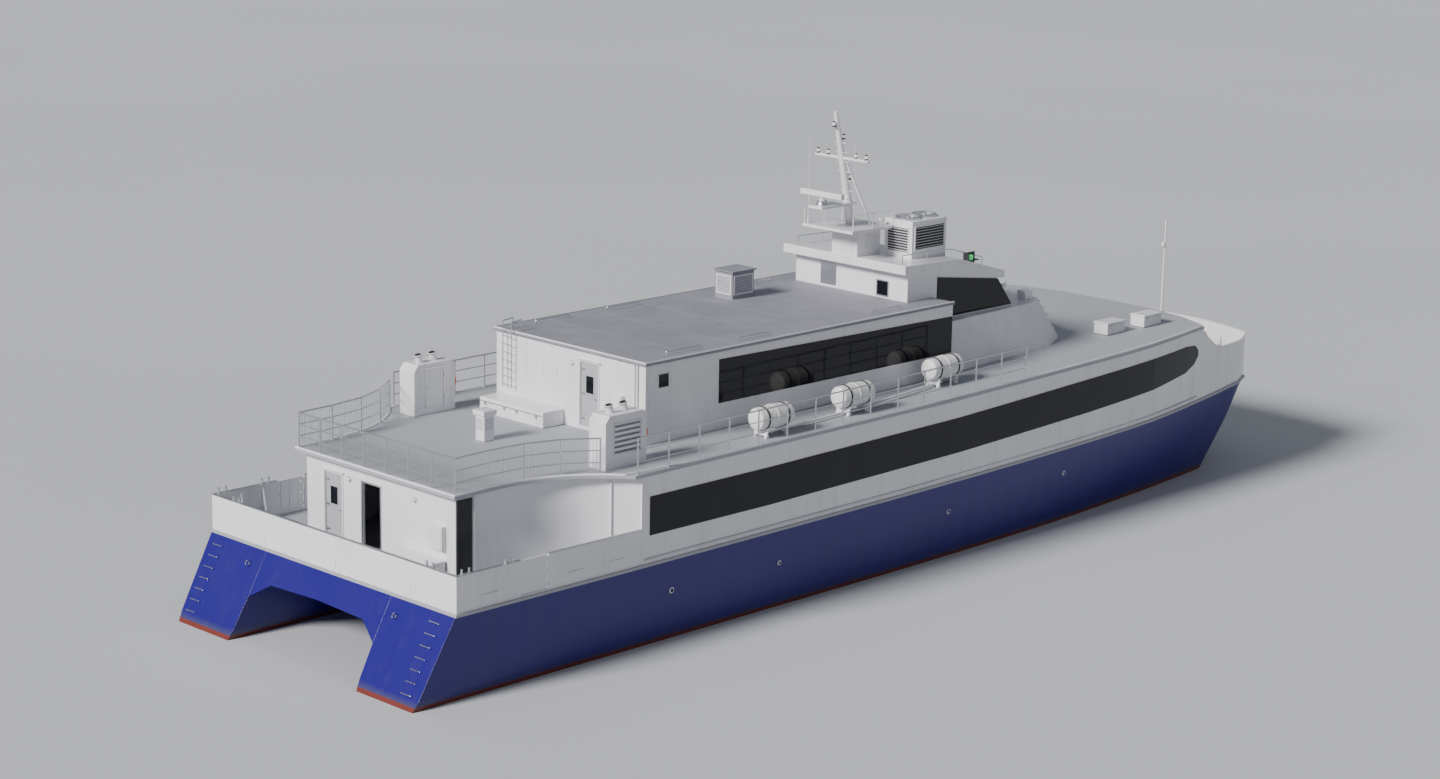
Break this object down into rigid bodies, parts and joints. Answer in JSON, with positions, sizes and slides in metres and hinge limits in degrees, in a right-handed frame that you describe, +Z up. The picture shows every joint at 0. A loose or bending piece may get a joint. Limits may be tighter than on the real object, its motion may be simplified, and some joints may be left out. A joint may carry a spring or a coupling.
{
  "type": "catamaran passenger ferry",
  "caption": "High-speed passenger catamaran ferry: two slender hulls, bridging deck, long main cabin, upper cabin, wheelhouse, mast and steerable waterjets.",
  "frame": {"origin": "at the waterline on the centreline, amidships (middle of the overall length)", "axes": "+X towards the bow, +Y to port, +Z up"},
  "size_m": [39.8, 11.2, 15.0459],
  "materials": {
    "hull_blue": "gloss",
    "white_paint": "gloss",
    "deck_grey": "matte",
    "dark_glass": "gloss",
    "bare_metal": "satin",
    "impeller_metal": "satin",
    "dark_trim": "matte",
    "seat_cloth": "matte"
  },
  "bodies": {
    "ship": {"bridge_structure": "hull_blue", "main_deck": "deck_grey", "foredeck": "deck_grey", "aft_bulwark": "white_paint", "bow_bulwark": "white_paint", "main_cabin_bulkhead": "white_paint", "main_cabin_front_wall": "white_paint", "stairs": "deck_grey", "aft_locker": "white_paint", "deck_ventilator": "white_paint", "front_window_strip": "dark_glass", "upper_deck_aft": "deck_grey", "upper_deck_landing": "deck_grey", "upper_deck": "deck_grey", "aft_house_walls": "white_paint", "upper_cabin_aft_wall": "white_paint", "upper_cabin_front_wall": "white_paint", "upper_cabin_roof": "deck_grey", "wheelhouse_walls": "white_paint", "wheelhouse_window_strip": "dark_glass", "wheelhouse_roof": "white_paint", "helm_console": "dark_trim", "forward_fairing": "white_paint", "mast": "white_paint", "jackstaff": "white_paint", "rail_aft": "bare_metal", "hull_port": "hull_blue", "main_cabin_side_port": "white_paint", "main_window_strip_port": "dark_glass", "exhaust_casing_port": "white_paint", "liferafts_port": "white_paint", "jet_housing_port": "bare_metal", "upper_cabin_side_port": "white_paint", "upper_window_strip_port": "dark_glass", "rail_side_port": "bare_metal", "seats_main_port": "seat_cloth", "seats_upper_port": "seat_cloth", "hull_starboard": "hull_blue", "main_cabin_side_starboard": "white_paint", "main_window_strip_starboard": "dark_glass", "exhaust_casing_starboard": "white_paint", "liferafts_starboard": "white_paint", "jet_housing_starboard": "bare_metal", "upper_cabin_side_starboard": "white_paint", "upper_window_strip_starboard": "dark_glass", "rail_side_starboard": "bare_metal", "seats_main_starboard": "seat_cloth", "seats_upper_starboard": "seat_cloth"},
    "steering_port": {"steering_nozzle_port": "bare_metal"},
    "bucket_port": {"reversing_bucket_port": "bare_metal"},
    "rotor_port": {"impeller_port": "impeller_metal"},
    "side_gate_port": {"gate_port": "white_paint"},
    "steering_starboard": {"steering_nozzle_starboard": "bare_metal"},
    "bucket_starboard": {"reversing_bucket_starboard": "bare_metal"},
    "rotor_starboard": {"impeller_starboard": "impeller_metal"},
    "side_gate_starboard": {"gate_starboard": "white_paint"},
    "radar": {"radar_scanner": "white_paint"},
    "house_door": {"aft_house_door": "deck_grey"},
    "lobby_sliding_door": {"sliding_door": "deck_grey"},
    "cabin_door": {"upper_cabin_door": "deck_grey"}
  },
  "joints": [
    {"name": "steer_port", "type": "hinge", "parent": "ship", "child": "steering_port", "pos_m": [-18.65, 4.15, -0.52], "axis": [0, 0, 1], "range_deg": [-28, 28]},
    {"name": "reverse_port", "type": "hinge", "parent": "steering_port", "child": "bucket_port", "pos_m": [-18.93, 4.15, -0.52], "axis": [0, -1, 0], "range_deg": [0, 62]},
    {"name": "impeller_spin_port", "type": "hinge", "parent": "ship", "child": "rotor_port", "pos_m": [-18.11, 4.15, -0.52], "axis": [1, 0, 0], "continuous": true},
    {"name": "gate_swing_port", "type": "hinge", "parent": "ship", "child": "side_gate_port", "pos_m": [-15.23, 5.51, 3.06], "axis": [0, 0, 1], "range_deg": [0, 90]},
    {"name": "steer_starboard", "type": "hinge", "parent": "ship", "child": "steering_starboard", "pos_m": [-18.65, -4.15, -0.52], "axis": [0, 0, 1], "range_deg": [-28, 28]},
    {"name": "reverse_starboard", "type": "hinge", "parent": "steering_starboard", "child": "bucket_starboard", "pos_m": [-18.93, -4.15, -0.52], "axis": [0, -1, 0], "range_deg": [0, 62]},
    {"name": "impeller_spin_starboard", "type": "hinge", "parent": "ship", "child": "rotor_starboard", "pos_m": [-18.11, -4.15, -0.52], "axis": [1, 0, 0], "continuous": true},
    {"name": "gate_swing_starboard", "type": "hinge", "parent": "ship", "child": "side_gate_starboard", "pos_m": [-15.23, -5.51, 3.06], "axis": [0, 0, -1], "range_deg": [0, 90]},
    {"name": "radar_spin", "type": "hinge", "parent": "ship", "child": "radar", "pos_m": [1.52, 0, 11], "axis": [0, 0, 1], "continuous": true},
    {"name": "house_door_swing", "type": "hinge", "parent": "ship", "child": "house_door", "pos_m": [-16.65, 2.466, 3.6], "axis": [0, 0, -1], "range_deg": [0, 105]},
    {"name": "sliding_door_run", "type": "slide", "parent": "ship", "child": "lobby_sliding_door", "axis": [0, 1, 0], "range_m": [0, 0.84]},
    {"name": "upper_door_swing", "type": "hinge", "parent": "ship", "child": "cabin_door", "pos_m": [-9.4, -0.534, 6.3], "axis": [0, 0, -1], "range_deg": [0, 105]}
  ]
}
